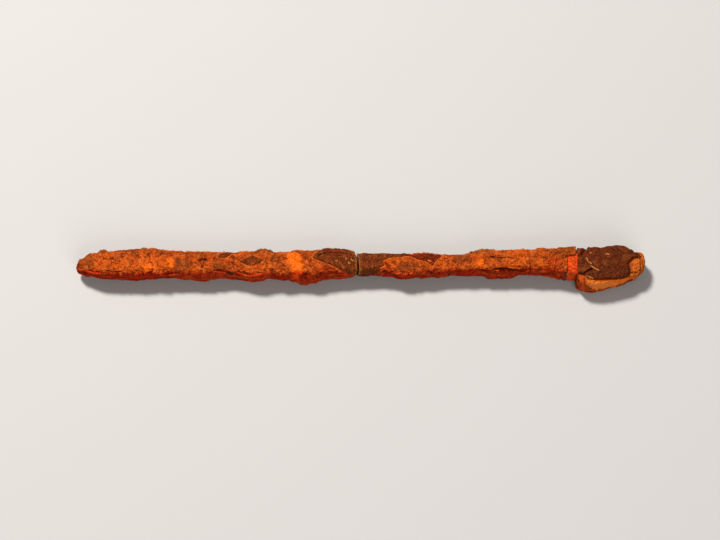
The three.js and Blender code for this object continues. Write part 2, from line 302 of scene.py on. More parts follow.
# Brown stains.
UMBER = [
    [(-101.8, 3), (-97.5, 4.4), (-95, 3.4), (-94.6, 1.3), (-96.8, -0.2), (-101.8, -0.8)],
    [(-66.4, -0.4), (-65.8, 2.2), (-62.8, 2.2), (-60.2, 0.4), (-61.8, -2.2), (-65.6, -2.4)],
    [(-53, 0.5), (-49.5, 1.5), (-47.5, -0.6), (-49.5, -2.4), (-52.5, -1.8)],
    [(-62, 5), (-57, 5.6), (-55, 4.2), (-60, 3.6)],
    [(66.5, 6.6), (76.8, 6.8), (76.8, 4.6), (68, 4.2)],
    [(-84, 4.4), (-80.5, 3.4), (-79, 5), (-80, 7), (-84.5, 6.8)],
    [(-32, 3.6), (-28.2, 3.8), (-28.4, 0.8), (-31.4, 0.2)],
    [(14, 0.9), (18.6, 1.4), (22, -0.2), (17, -2), (12.2, -1.2)],
    [(33.6, 3.4), (38.4, 3.8), (38.8, 1.4), (34.6, 0.8)],
]
# Red rust.
RED = [
    [(-16.5, -2), (-13.9, 0.5), (-11, -0.2), (-7.4, -2), (-5.3, -3.8), (-11.7, -5.4), (-16.3, -4.8)],
    [(67, 2.5), (72.5, 3.4), (73, -3.4), (69, -4), (66.8, -1)],
    [(-3, -2.5), (8, -2.4), (9.5, 0.4), (11.5, -1.2), (20, -2), (19, -4.2), (-3, -3.8)],
    [(20.5, -1.5), (27, -1), (31, -2.4), (28, -4.2), (21, -4)],
    [(43, -1.6), (50, -1.7), (57, -2.6), (54, -5.6), (45, -5.2)],
]
# Holes and cracks in the crust: a line, its half width and its depth.
GROOVES = [
    ([(-57.2, 1.9), (-56.2, 2.3), (-55.1, 2.1)], 0.45, 0.9),
    ([(46.2, 3.4), (48.7, 2.9), (51.2, 2.9), (53.4, 3)], 0.16, 0.5),
    ([(48, -1.3), (50.5, -1.2), (52.6, -1.4), (54.8, -1.8), (57.5, -2)], 0.34, 1.1),
    ([(-91, -1.6), (-88, -2.4), (-85, -2.2)], 0.2, 0.4),
    ([(-46, 1.2), (-44.4, 0.2), (-43, -0.6)], 0.2, 0.4),
    ([(60, 1.8), (60.6, -0.2), (60.2, -1.9)], 0.18, 0.4),
]
# Ledges: below the line the crust has scaled off and the surface drops back.
LEDGES = [
    ([(-97, -3.2), (-89.6, -3.2), (-83.2, -3.1), (-76.8, -3.5), (-70, -3.6), (-64, -3.3)], 0.8),
    ([(-34, -3.2), (-29, -3.5), (-25, -4.2)], 0.8),
    ([(-2, -3), (2.6, -3.1), (6.2, -2.9), (12, -3.1), (21, -3.3)], 0.8),
    ([(28, -2.4), (34.8, -2), (38.3, -1.7), (42.6, -1.6), (47, -1.8)], 1),
    ([(55, -2.4), (59, -2.5), (63.5, -3), (68.5, -3.9)], 0.9),
]
# Scales and lumps: a name, its outline, and how far its middle stands out of the crust's smooth skin.
POINT_SCALES = {
    "scale_lens_back": (
        [(-51.4, 3), (-50, 4.6), (-47.5, 5.4), (-45.2, 5.2), (-46.4, 3.8), (-48.5, 2.5)], 0),
    "scale_lens_middle": (
        [(-43.4, 1.5), (-40.7, 3), (-38.5, 3.8), (-36.4, 3), (-34.2, 1.9), (-36.7, 0.4), (-38.9, -0.2),
         (-41, 0.4)], -0.1),
    "scale_left_of_break": (
        [(-17.4, 2.9), (-16, 4.6), (-13.4, 6.6), (-7.4, 7.4), (-2.4, 6.9), (-1, 5.6), (0.4, 4), (0.5, 0),
         (0.2, -3.6), (-3.8, -3.5), (-6, -2.2), (-8.5, -1), (-11.4, 0.5), (-14.2, 1.4)], 0.3),
}
SHANK_SCALES = {
    "scale_right_of_break": (
        [(-2, 5.6), (5, 5.4), (15.5, 4.9), (18.6, 3.7), (14.7, 3.1), (10.1, 2.8), (8, 1.6), (8.6, 0.2),
         (6.9, -1), (6.4, -3), (3, -4.2), (-2, -4.4), (-1.8, 0)], 0.1),
    "scale_lens_shank": (
        [(16.2, 4), (20.5, 5), (25.1, 5), (29.4, 3.8), (27.3, 2.3), (25.6, -0.2), (23.7, 1.2),
         (19.8, 2.4)], -0.05),
}
HEAD_SCALES = {
    "head_cheek_scale": (
        [(80.3, 5.6), (80.9, 8.4), (84.5, 8.8), (89.5, 9.2), (93.6, 8.6), (96.2, 6.4), (98.2, 4.8),
         (99.2, 3), (97, 2.6), (95.2, 0.6), (95.8, -1.7), (95, -3.8), (92.8, -4.6), (87.7, -4.9),
         (83.4, -5), (80.9, -4.4), (79.6, -3.2), (77, -2.9), (77, 2.3), (78.4, 3.5)], 0.6),
    "head_hook_scale": (
        [(76.9, -3.2), (79.4, -3.5), (79.8, -4.7), (79.6, -6.2), (80.4, -8.4), (79.6, -10),
         (76.9, -9.6)], 0.2),
    "head_corner_scale": ([(77, 8.2), (80.6, 8.2), (80, 5.8), (78.1, 3.8), (77, 2.6)], 0.55),
}
POINT_LUMPS = {
    "scale_on_point": (
        [(-99.4, 1), (-98, 2.8), (-95.8, 4.1), (-94.2, 3.4), (-94.4, 1.2), (-96.4, -0.6),
         (-99, -0.2)], 0.12),
    "nodule_back_of_point": ([(-95.2, 4.6), (-93.4, 6.6), (-90.6, 6.6), (-89.4, 5), (-91.8, 3.7)], 1),
    "nodule_back_of_taper": ([(-80.8, 5.2), (-78.4, 7.4), (-75.6, 7), (-73.9, 5), (-77.4, 4.1)], 0.5),
    "nodule_front_knob": (
        [(-48.9, -2), (-46.7, -0.8), (-44.2, -1.3), (-43.5, -3.2), (-45.4, -4.6), (-48.2, -3.8)], 0.6),
    "flake_back_of_lens": ([(-38.4, 4.7), (-37.4, 6.6), (-31.6, 6.6), (-30.2, 5), (-34.8, 4.1)], 1.9),
    "blister_front_foot": ([(-25.6, -4.6), (-20, -3.9), (-14.6, -5), (-15.2, -8.2), (-24.6, -8.2)], 0.7),
}
SHANK_LUMPS = {
    "flake_back_of_shank": (
        [(36.9, 4.6), (38.6, 6.4), (46.6, 6.9), (49.2, 5.6), (44.6, 4.3), (40, 3.9)], 1.6),
    "blister_front_shank": (
        [(21, -1.8), (25.2, -1.1), (31.2, -2.4), (31.8, -4.2), (27, -5), (21.6, -4.2)], 0.7),
    "blister_front_flap": (
        [(42.8, -2.4), (48.2, -1.9), (53, -2.1), (56.8, -2.9), (54.6, -6.8), (50, -7.4),
         (44.6, -6.2)], 0.45),
}


# ---- The skin: rounded sections along the spike ----

def curve_through(x, knots, values):
    """A smooth curve through the values at the knots."""
    slopes = np.gradient(values, knots)
    i = np.clip(np.searchsorted(knots, x) - 1, 0, len(knots) - 2)
    width = knots[i + 1] - knots[i]
    t = np.clip((x - knots[i]) / width, 0, 1)
    rise = values[i] * (1 + 2 * t) * (1 - t) ** 2 + values[i + 1] * t * t * (3 - 2 * t)
    return rise + width * t * (1 - t) * ((1 - t) * slopes[i] - t * slopes[i + 1])


def heights_across(points, angle):
    """How high each point of the rings lies across. angle is the way that it faces."""
    height = points[:, :, 1] * VIEW_UP[0] + (points[:, :, 2] - AXIS_Z) * VIEW_UP[1]
    length = np.linalg.norm(np.diff(points[:, :, 1:], axis=1), axis=2)
    seen = np.column_stack([np.cos(angle), np.sin(angle)]) @ VIEW_BACK > 0
    fall = np.where(seen[1:] & seen[:-1], np.maximum(-np.diff(height, axis=1), 0), length)
    total = np.column_stack([np.zeros(len(points)), np.cumsum(fall, axis=1)])
    first = np.argmax(seen)
    return height[:, first:first + 1] + total[:, first:first + 1] - total


class Skin:
    """The smooth outer surface of a length of crust or iron: rounded rectangles along x."""

    def __init__(self, sections, radii, dome_radius=0, dome_towards=0):
        self.knots = np.array(sections)
        self.radii = radii
        self.dome_radius = dome_radius
        self.dome_towards = dome_towards

    def grown(self, by):
        wider = self.knots + np.array([0, by, -by, -by, by])
        return Skin(wider, self.radii)

    def rings(self, x, count=RING_POINTS):
        """Points on a ring at each x, the way each faces, and its height across. A ring starts at the back
        low edge and goes up the back, over the top, and down the front."""
        quarter = count // 4
        arc = round(quarter * ARC_SHARE)
        step = np.arange(quarter)
        corner = np.repeat(np.arange(4), quarter)
        angle = (corner - 1 + np.tile(np.minimum(step / arc, 1), 4)) * math.pi / 2
        share = np.tile(np.maximum(step - arc, 0) / (quarter - arc), 4)
        back, front, low, high = (curve_through(x, self.knots[:, 0], self.knots[:, k]) for k in range(1, 5))
        most = 0.48 * np.minimum(back - front, high - low)
        radius = np.stack([np.minimum(r, most) for r in self.radii], axis=1)
        side = np.stack([back, back, front, front], axis=1) + radius * (-1, -1, 1, 1)
        level = np.stack([low, high, high, low], axis=1) + radius * (1, -1, -1, 1)

        def blended(values):
            return values[:, corner] * (1 - share) + values[:, (corner + 1) % 4] * share

        y = blended(side) + blended(radius) * np.cos(angle)
        z = blended(level) + blended(radius) * np.sin(angle)
        lean = np.zeros(len(x))
        if self.dome_towards:
            end = self.knots[0 if self.dome_towards < 0 else -1, 0]
            lean = np.clip(1 - (end - x) * self.dome_towards / self.dome_radius, 0, 1)
            shrink = np.sqrt(np.clip(1 - lean ** 2.4, 0, 1))
            middle_y, middle_z = (back + front) / 2, (low + high) / 2
            y = middle_y[:, None] + (y - middle_y[:, None]) * shrink[:, None]
            z = middle_z[:, None] + (z - middle_z[:, None]) * shrink[:, None]
        upright = np.sqrt(1 - lean ** 2)[:, None]
        points = np.stack([np.repeat(x[:, None], len(angle), axis=1), y, z], axis=2)
        ways = np.stack([
            np.repeat(lean[:, None] * self.dome_towards, len(angle), axis=1),
            upright * np.cos(angle),
            upright * np.sin(angle),
        ], axis=2)
        return points, ways, heights_across(points, angle)

    def at(self, x, across):
        """The point at each (x, across), and the way it faces."""
        points, ways, heights = self.rings(x, 240)
        rows = np.arange(len(x))
        after = np.clip((heights > across[:, None]).sum(axis=1), 1, heights.shape[1] - 1)
        above, below = heights[rows, after - 1], heights[rows, after]
        share = np.clip((above - across) / np.maximum(above - below, 1e-6), 0, 1)[:, None]
        place = points[rows, after - 1] * (1 - share) + points[rows, after] * share
        way = ways[rows, after - 1] * (1 - share) + ways[rows, after] * share
        return place, way / np.linalg.norm(way, axis=1, keepdims=True)


POINT_SKIN = Skin(POINT_SECTIONS, CRUST_RADII, 1.9, -1)
SHANK_SKIN = Skin(SHANK_SECTIONS, CRUST_RADII)
HEAD_SKIN = Skin(HEAD_SECTIONS, HEAD_RADII, 1.3, 1)
POINT_IRON = Skin(POINT_CORE_SECTIONS, CORE_RADII)
SHANK_IRON = Skin(SHANK_CORE_SECTIONS, CORE_RADII)


def ring_places(start, end, spacing, dome_radius=0, dome_towards=0):
    """x for each ring, closer together where an end is rounded off."""
    turn = dome_radius * (1 - 0.999 * np.cos(np.linspace(0, 1, 15) * math.pi / 2))[1:]
    if dome_towards < 0:
        return np.concatenate([start + turn, np.arange(start + dome_radius + spacing, end, spacing), [end]])
    plain = np.arange(start, end - dome_radius - spacing / 2, spacing)
    return np.concatenate([plain, end - turn[::-1]]) if dome_towards else np.append(plain, end)


# ---- The crust's relief ----

def swell(points):
    """The crust's broad lumps, which the scales on it follow."""
    return 0.3 * rough(points, 6, 11, octaves=2)


def grain(points):
    """The crust's fine relief: granules and wrinkles with creases between them, and pits."""
    bent = points + 0.45 * np.stack([rough(points, 1.6, 21 + k, octaves=2) for k in range(3)], axis=1)
    near, second = cells(bent, 1.15, 31)
    small_near, _ = cells(bent, 0.62, 35)
    wrinkle = np.abs(noise(bent * (0.7, 1, 1), 41))
    small_wrinkle = np.abs(noise(bent * (1.5, 2, 2), 45))
    relief = 0.26 * (0.55 - near) - 0.16 * (1 - smoothstep(0, 0.2, second - near))
    relief += 0.18 * (0.5 - small_near)
    relief -= 0.3 * (1 - smoothstep(0, 0.14, wrinkle))
    relief -= 0.2 * (1 - smoothstep(0, 0.2, small_wrinkle))
    relief -= 0.4 * smoothstep(0.36, 0.8, rough(points, 2.4, 51))
    return relief + 0.26 * rough(points, 2.2, 71) + 0.14


def layers(points, ways):
    """Thin layers that have scaled off the spike's near and far sides in patches."""
    wander = points[:, 2] * 0.42 + 1.1 * rough(points * (0.25, 0.6, 0.6), 3.2, 81)
    step = wander - np.floor(wander)
    terrace = 0.75 * (smoothstep(0, 0.8, step) - smoothstep(0.9, 1, step)) - 0.3
    patch = smoothstep(-0.25, 0.3, rough(points * (0.5, 1, 1), 5, 85))
    return terrace * patch * smoothstep(0.5, 0.95, np.abs(ways[:, 1]))


def crust_marks(points, ways, across, beds):
    """Where each colour of rust lies, where painted shade lies, how deep grooves and ledges cut, and where
    scales are bedded.
    """
    x = points[:, 0]
    seen = smoothstep(-0.05, 0.12, ways[:, 1:] @ VIEW_BACK)
    ragged = 0.6 * rough(points, 1.3, 91) + 0.3 * rough(points, 3.5, 95)
    patches = {"ochre": OCHRE, "vivid": VIVID, "umber": UMBER, "red": RED}
    marks = {key: mask(x, across, ragged, outlines, 0.8) * seen for key, outlines in patches.items()}
    hidden = 1 - seen
    broad = rough(points, 6.5, 101)
    fleck = rough(points, 1.8, 111)
    marks["ochre"] += 0.8 * hidden * smoothstep(0.25, 0.55, broad) + 0.55 * smoothstep(0.28, 0.55, fleck)
    marks["umber"] += 0.8 * hidden * smoothstep(0.2, 0.5, -broad) + 0.7 * smoothstep(0.2, 0.5, -fleck)
    marks["umber"] += smoothstep(0.3, 0.9, ways[:, 1]) * smoothstep(-0.35, 0.25, rough(points, 3, 125))
    # Painted shade on the near side, deep red with painted red bounce light, laid over the red rust.
    near_side_shade = smoothstep(0.35, 0.9, -ways[:, 1]) * (0.8 + 0.6 * rough(points, 2.5, 121))
    marks["red"] = np.maximum(0.45 * marks["red"], near_side_shade)
    carve = np.zeros(len(x))
    for line, half_width, depth in GROOVES:
        away = line_distance(x, across, line) + 0.12 * rough(points, 0.8, 131)
        carve -= depth * (1 - smoothstep(0.2 * half_width, half_width * 1.6, away))
    # Painted shade in the grooves.
    marks["dark"] = smoothstep(0.1, 0.5, -carve)
    for line, drop in LEDGES:
        knots, heights = np.array(line).T
        edge = np.interp(x, knots, heights) + 0.7 * rough(points, 2.2, 141)
        along = smoothstep(knots[0] - 1, knots[0] + 1.5, x)
        along *= smoothstep(-knots[-1] - 1, -knots[-1] + 1.5, -x)
        below = smoothstep(0, 0.4, edge - across) * smoothstep(-9, -7, across)
        carve -= drop * along * below
        # Below a ledge, the near side's painted red shade, and a painted shadow just under its edge.
        marks["red"] = np.maximum(marks["red"], along * below)
        marks["dark"] += 0.7 * along * below * smoothstep(1, 0.2, edge - across)
    marks["carve"] = carve
    marks["bed"] = mask(x, across, np.full(len(x), 0.1), beds, 0.3)
    return marks


# ---- Meshes ----

def in_scene(name, data):
    """A new object in the scene, with its mesh, lamp or camera data."""
    obj = bpy.data.objects.new(name, data)
    bpy.context.scene.collection.objects.link(obj)
    return obj


# Besides rust colours, the marks carry painted light: crest sets painted shade in the relief's low places
# and painted highlight on its high places, dark is painted shade, and red also holds the near side's
# painted shade.
MARKS = ("ochre", "vivid", "umber", "red", "dark", "pale", "crest", "inside")


def make_object(name, points, faces, marks):
    """A mesh of points in millimetres, moved to the shared frame, with its marks as attributes."""
    mesh = bpy.data.meshes.new(name)
    mesh.from_pydata(((points + (0, BAR_Y, 0)) * MM).tolist(), [], faces)
    mesh.validate()
    mesh.shade_smooth()
    for key in MARKS:
        if key in marks:
            attribute = mesh.attributes.new(key, "FLOAT", "POINT")
            attribute.data.foreach_set("value", np.clip(marks[key], 0, 1).astype(np.float32))
    return in_scene(name, mesh)


def tube_faces(rings, size, capped):
    """Faces between rings of size points. A capped tube is closed by two more points, one at each end; the
    last ring of any other joins its first."""
    faces = []
    for r in range(rings - 1 if capped else rings):
        a, b = r * size, ((r + 1) % rings) * size
        faces += [(a + p, a + (p + 1) % size, b + (p + 1) % size, b + p) for p in range(size)]
    if capped:
        first, last, end = rings * size, rings * size + 1, (rings - 1) * size
        faces += [(first, (p + 1) % size, p) for p in range(size)]
        faces += [(last, end + p, end + (p + 1) % size) for p in range(size)]
    return faces


def make_tube(name, rings, marks, capped=True):
    """A tube through rings of points, each ring with the marks of its own in marks."""
    points = np.concatenate(rings)
    if capped:
        points = np.concatenate([points, [rings[0].mean(axis=0)], [rings[-1].mean(axis=0)]])
        marks = {key: np.concatenate([values, [values[0], values[-1]]]) for key, values in marks.items()}
    return make_object(name, points, tube_faces(len(rings), RING_POINTS, capped), marks)


def finish_piece(obj, node_name, body, slot):
    """Stands for its CAD node, rides on its body and takes its slot's material."""
    obj.data.materials.append(MATERIALS[slot])
    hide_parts(node_name)
    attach(obj, body)


def make_sleeve(name, piece, lead, rings, tail, marks, capped=True, **fill):
    """A length of crust: its outer rings with their marks, and its broken faces and bore in lead and tail,
    with the marks in fill."""
    for key in marks:
        value = fill.get(key, 0.5 if key == "crest" else 0)
        before, after = (np.full(len(part) * RING_POINTS, value) for part in (lead, tail))
        marks[key] = np.concatenate([before, marks[key], after])
    finish_piece(make_tube(name, lead + rings + tail, marks, capped), *piece)


def crust_rings(skin, x, beds, strength=1):
    """The crust's outer skin with its relief: rings of points, the marks at each, and its height across."""
    points, ways, across = skin.rings(x)
    flat, ways, across = points.reshape(-1, 3), ways.reshape(-1, 3), across.ravel()
    marks = crust_marks(flat, ways, across, beds)
    bed = marks.pop("bed")
    fine = strength * (grain(flat) * (1 - 0.3 * marks["umber"]) + layers(flat, ways)) * (1 - 0.8 * bed)
    height = fine + marks.pop("carve") - 0.4 * bed + 0.6 * bed * (1 - bed) + swell(flat)
    deepest = 0.6 * smoothstep(0.3, 0.8, np.abs(ways[:, 1])) - DEEPEST
    underneath = smoothstep(0.3, 0.9, -ways[:, 2])
    height = np.maximum(height, deepest) * (1 - 0.65 * underneath)
    moved = flat + ways * height[:, None]
    moved[:, 2] = np.maximum(moved[:, 2], FLOOR_GAP)
    # crest sets painted shade in the relief's low places and painted highlight on its high places and on
    # the rim round each scale's bed.
    marks["crest"] = 0.5 + 1.2 * fine + 1.6 * bed * (1 - bed)
    marks["inside"] = np.zeros(len(flat))
    return list(moved.reshape(points.shape)), marks, across.reshape(points.shape[:2])


def bore_ring(iron, x):
    """One ring of the room for the iron inside the crust."""
    return iron.grown(CORE_GAP).rings(np.array([float(x)]))[0][0]


def broken_x(points, opening):
    """x of the broken face at each point: it bulges towards the head, and both sides of it match."""
    height = points[:, 1:] @ VIEW_UP - AXIS_Z * VIEW_UP[1]
    bulge = 1.1 * (1 - np.clip(height / 4.2, -1, 1) ** 2) - 0.6
    flat = points * (0, 1, 1)
    return BREAK_X + bulge + 0.4 * rough(flat, 2.4, 201) + 0.22 * rough(flat, 0.7, 205) + opening / 2


def between(first, second, shares):
    """A ring for each share of the way from the first ring to the second. Either may be a point."""
    return [first * (1 - share) + second * share for share in shares]


def broken_face(outer, inner, side):
    """Rings over the crust's broken face, from its edge, which is chipped, to its bore."""
    shares = np.arange(1, FACE_RINGS + 1) / FACE_RINGS
    rings = between(outer, inner, shares)
    for ring, share in zip(rings, shares):
        ring[:, 0] = broken_x(ring, side * (INNER_GAP + SLIT * (1 - smoothstep(0.3, 0.9, share))))
    return rings


def near_break(places, width):
    """1 at the edges of the break, fading over the width away from it: the edges are paler."""
    away = np.abs(places[:, 0] - broken_x(places, 0)) - SLIT / 2 - PALE_EDGE
    return np.exp(-away.clip(0) / width)


def pull_to_break(rings, x, marks, side):
    """Draws the end of a length of crust out to the broken face, whose edge is paler."""
    edge, end_x = (rings[-1], BREAK_LEFT) if side < 0 else (rings[0], BREAK_RIGHT)
    shift = broken_x(edge, side * (INNER_GAP + SLIT)) - end_x
    for ring, share in zip(rings, smoothstep(-PULL_LENGTH, 0, -np.abs(x - end_x))):
        ring[:, 0] += share * shift
    marks["pale"] = 0.55 * near_break(np.concatenate(rings), 0.22)


# ---- Materials ----

def node(tree, kind, inputs=None, **settings):
    """A shader node with its settings, and its inputs as numbers or as other nodes' outputs."""
    made = tree.nodes.new("ShaderNode" + kind)
    for key, value in settings.items():
        setattr(made, key, value)
    for key, value in (inputs or {}).items():
        if isinstance(value, bpy.types.NodeSocket):
            tree.links.new(value, made.inputs[key])
        else:
            made.inputs[key].default_value = value
    return made


def mixed(tree, factor, first, second, blend="MIX"):
    """Two colours mixed by a factor: colours are sockets or (r, g, b)."""
    first, second = ((*value, 1) if isinstance(value, tuple) else value for value in (first, second))
    inputs = {0: factor, 6: first, 7: second}
    return node(tree, "Mix", inputs, data_type="RGBA", blend_type=blend).outputs[2]


def ramp(tree, factor, stops):
    """Values or colours along a factor: stops are (position, colour or number)."""
    made = node(tree, "ValToRGB", {"Fac": factor})
    elements = made.color_ramp.elements
    while len(elements) < len(stops):
        elements.new(0.5)
    for element, (position, value) in zip(elements, stops):
        element.position = position
        element.color = (*value, 1) if isinstance(value, tuple) else (value, value, value, 1)
    return made.outputs["Color"]


def maths(tree, operation, first, second):
    return node(tree, "Math", {0: first, 1: second}, operation=operation).outputs[0]


def mark(tree, name):
    return node(tree, "Attribute", attribute_name=name).outputs["Fac"]


def texture(tree, kind, scale, **inputs):
    """A noise or cell texture in the object's own space: scale is features per millimetre."""
    place = node(tree, "TexCoord").outputs["Object"]
    sized = node(tree, "Mapping", {"Vector": place, "Scale": (1 / MM,) * 3}).outputs[0]
    return node(tree, kind, {"Vector": sized, "Scale": scale, **inputs}).outputs[0]


# Colours of rust, as (r, g, b), and the tones of its painted shade and painted highlight. The red tint is
# multiplied in.
VIVID_TONE = (0.98, 0.15, 0.002)
UMBER_TONE = (0.105, 0.015, 0.002)
PALE_TONE = (0.62, 0.235, 0.05)
# Red tint, multiplied in: red rust, and on the near side painted shade with painted red bounce light in it.
RED_RUST_AND_SHADE_TINT = (0.86, 0.27, 0.4)
# Painted shade in the relief's creases, in grooves, under ledges and under scales; also the colour of
# random dark flecks.
SHADE_AND_FLECK_TONE = (0.05, 0.007, 0.002)
# Painted highlight on the relief's high places, and pale specks that are partly dust and partly painted
# glints.
HIGHLIGHT_AND_DUST_TONE = (0.74, 0.19, 0.034)
BROKEN_TONES = ((0.035, 0.01, 0.005), (0.12, 0.028, 0.009), (0.3, 0.075, 0.018))


def rust_material(name, tones, fresh=(0.47, 0.062, 0.002), stain=0, roughness=0.92, specular=0.04,
                  highlight_and_dust=0.4, crease_shade=0.85):
    """Rust: tones are its dark, middle and light colours, fresh is its ochre, and stain spreads its dark
    flecks. The last two arguments say how strong the painted highlight on the relief's high places and in
    specks, and the painted shade in its low places, are."""
    material = bpy.data.materials.new(name)
    material.use_nodes = True
    tree = material.node_tree
    tree.nodes.clear()
    broad = texture(tree, "TexNoise", 0.33, Detail=6, Roughness=0.62)
    fine = texture(tree, "TexNoise", 1.7, Detail=5, Roughness=0.7)
    grit = texture(tree, "TexNoise", 6, Detail=3, Roughness=0.65)
    crumbs = texture(tree, "TexVoronoi", 2.6, Randomness=1)
    speckle = texture(tree, "TexNoise", 3.2, Detail=1, Roughness=0.5)

    def tint(share, factor, tone):
        nonlocal base
        base = mixed(tree, maths(tree, "MULTIPLY", factor, share), base, tone)

    base = ramp(tree, broad, list(zip((0.34, 0.5, 0.68), tones)))
    tint(0.5, ramp(tree, fine, [(0.4, 0), (0.66, 1)]), tones[2])
    tint(0.6, ramp(tree, fine, [(0.36 + stain, 1), (0.5 + stain, 0)]), tones[0])
    tint(0.85, mark(tree, "umber"), UMBER_TONE)
    patchy = ramp(tree, fine, [(0.3, 0.5), (0.6, 1)])
    tint(0.9, maths(tree, "MULTIPLY", mark(tree, "ochre"), patchy), fresh)
    tint(1, maths(tree, "MULTIPLY", mark(tree, "vivid"), patchy), VIVID_TONE)
    # Painted shade in the relief's low places, painted highlight on its high places, pale specks of dust
    # and painted glints, then random dark flecks.
    tint(crease_shade, ramp(tree, mark(tree, "crest"), [(0.1, 1), (0.46, 0)]), SHADE_AND_FLECK_TONE)
    tint(highlight_and_dust, ramp(tree, mark(tree, "crest"), [(0.52, 0), (0.82, 1)]), HIGHLIGHT_AND_DUST_TONE)
    tint(highlight_and_dust, ramp(tree, grit, [(0.56, 0), (0.66, 1)]), HIGHLIGHT_AND_DUST_TONE)
    tint(highlight_and_dust * 1.2, ramp(tree, speckle, [(0.56, 0), (0.68, 1)]), HIGHLIGHT_AND_DUST_TONE)
    tint(0.45, ramp(tree, speckle, [(0.34, 1), (0.44, 0)]), SHADE_AND_FLECK_TONE)
    base = mixed(tree, ramp(tree, grit, [(0.32, 0.45), (0.46, 0)]), base, tones[0])
    # Red rust, and the near side's painted red shade.
    base = mixed(tree, mark(tree, "red"), base, RED_RUST_AND_SHADE_TINT, "MULTIPLY")
    # Painted shade in grooves, under ledges and under the head's scales.
    tint(0.85, mark(tree, "dark"), SHADE_AND_FLECK_TONE)
    tint(0.9, mark(tree, "pale"), PALE_TONE)
    broken = ramp(tree, fine, list(zip((0.36, 0.52, 0.68), BROKEN_TONES)))
    base = mixed(tree, mark(tree, "inside"), base, broken)
    height = maths(tree, "ADD", maths(tree, "MULTIPLY", fine, 0.8), maths(tree, "MULTIPLY", grit, 0.5))
    height = maths(tree, "SUBTRACT", height, maths(tree, "MULTIPLY", crumbs, 0.55))
    relief = node(tree, "Bump", {"Strength": 0.8, "Distance": 0.4 * MM, "Height": height}).outputs[0]
    shine = ramp(tree, fine, [(0.3, roughness - 0.12), (0.7, min(roughness + 0.06, 1))])
    surface = node(tree, "BsdfPrincipled", {"Base Color": base, "Roughness": shine, "Normal": relief})
    surface.inputs["Specular IOR Level"].default_value = specular
    node(tree, "OutputMaterial", {"Surface": surface.outputs[0]})
    return material


MATERIALS = {
    "point_rust": rust_material(
        "crust_rust", ((0.15, 0.015, 0.001), (0.34, 0.034, 0.001), (0.51, 0.068, 0.002))),
    "head_rust": rust_material(
        "head_rust", ((0.2, 0.03, 0.004), (0.38, 0.058, 0.005), (0.56, 0.11, 0.01)),
        fresh=(0.62, 0.15, 0.014), crease_shade=0.6),
    "iron_core": rust_material(
        "core_rust", ((0.36, 0.019, 0.002), (0.6, 0.032, 0.002), (0.78, 0.056, 0.004)), roughness=0.85,
        highlight_and_dust=0.25, crease_shade=0.5),
    "dark_scale": rust_material(
        "dark_scale", ((0.026, 0.005, 0.001), (0.062, 0.009, 0.002), (0.16, 0.026, 0.003)), stain=0.035,
        roughness=0.8, specular=0.04, highlight_and_dust=0.3),
    "head_scale": rust_material(
        "head_scale", ((0.026, 0.005, 0.001), (0.056, 0.009, 0.002), (0.12, 0.022, 0.003)),
        fresh=(0.62, 0.075, 0.003), stain=0.03, roughness=0.76, specular=0.05, highlight_and_dust=0.14),
    "olive_nodule": rust_material(
        "olive_rust", ((0.075, 0.016, 0.003), (0.16, 0.03, 0.004), (0.29, 0.07, 0.01)), stain=0.02),
    "red_blister": rust_material(
        "blister_rust", ((0.14, 0.012, 0.002), (0.3, 0.026, 0.003), (0.46, 0.06, 0.007))),
}
MATERIALS["shank_rust"] = MATERIALS["point_rust"]
MATERIALS["striking_rust"] = MATERIALS["head_rust"]


# ---- Crust, in three sleeves and a layer ----

def outlines_of(pieces):
    return [outline for outline, _ in pieces.values()]


def make_point_crust():
    x = ring_places(POINT_X, BREAK_LEFT, FINE, POINT_SKIN.dome_radius, -1)
    rings, marks, _ = crust_rings(POINT_SKIN, x, outlines_of(POINT_SCALES))
    pull_to_break(rings, x, marks, -1)
    tail = broken_face(rings[-1], bore_ring(POINT_IRON, BREAK_LEFT), -1)
    tail += [bore_ring(POINT_IRON, BREAK_LEFT - depth) for depth in (1, 3, 8, 30, 60, 85)]
    piece = ("point_crust", "point_length", "point_rust")
    make_sleeve("point_crust_skin", piece, [], rings, tail, marks, inside=1)


def make_shank_crust():
    x = ring_places(BREAK_RIGHT, CAP_X, FINE)
    rings, marks, across = crust_rings(SHANK_SKIN, x, outlines_of(SHANK_SCALES))
    pull_to_break(rings, x, marks, 1)
    edge = rings[-1].copy()
    on_back = smoothstep(CAP_EDGE - 0.5, CAP_EDGE + 0.5, across[-1] + 0.5 * rough(edge, 1.5, 211))
    end_x = NECK_X + 0.35 * rough(edge, 1.5, 221)
    end_x += (CAP_X - end_x) * on_back * smoothstep(CAP_FAR_EDGE + 3, CAP_FAR_EDGE, across[-1])
    stretch_from = 66
    for ring, place in zip(rings, x):
        if place > stretch_from:
            reach = ring[:, 0] - stretch_from
            ring[:, 0] = stretch_from + reach * (end_x - stretch_from) / (CAP_X - stretch_from)
    inner_end = bore_ring(SHANK_IRON, CAP_X)
    inner_end[:, 0] = rings[-1][:, 0] - 0.2
    tail = between(rings[-1], inner_end, (0.25, 0.5, 0.75, 1))
    for ring in tail[:-1]:
        ring[:, 0] += 0.15 * rough(ring, 0.9, 231)
    tail += [bore_ring(SHANK_IRON, place) for place in (70, 60, 46, 33, 20, 8, 3, 1)]
    tail += broken_face(rings[0], bore_ring(SHANK_IRON, BREAK_RIGHT), 1)[::-1]
    piece = ("shank_crust", "head_length", "shank_rust")
    make_sleeve("shank_crust_skin", piece, [], rings, tail, marks, capped=False, inside=1)


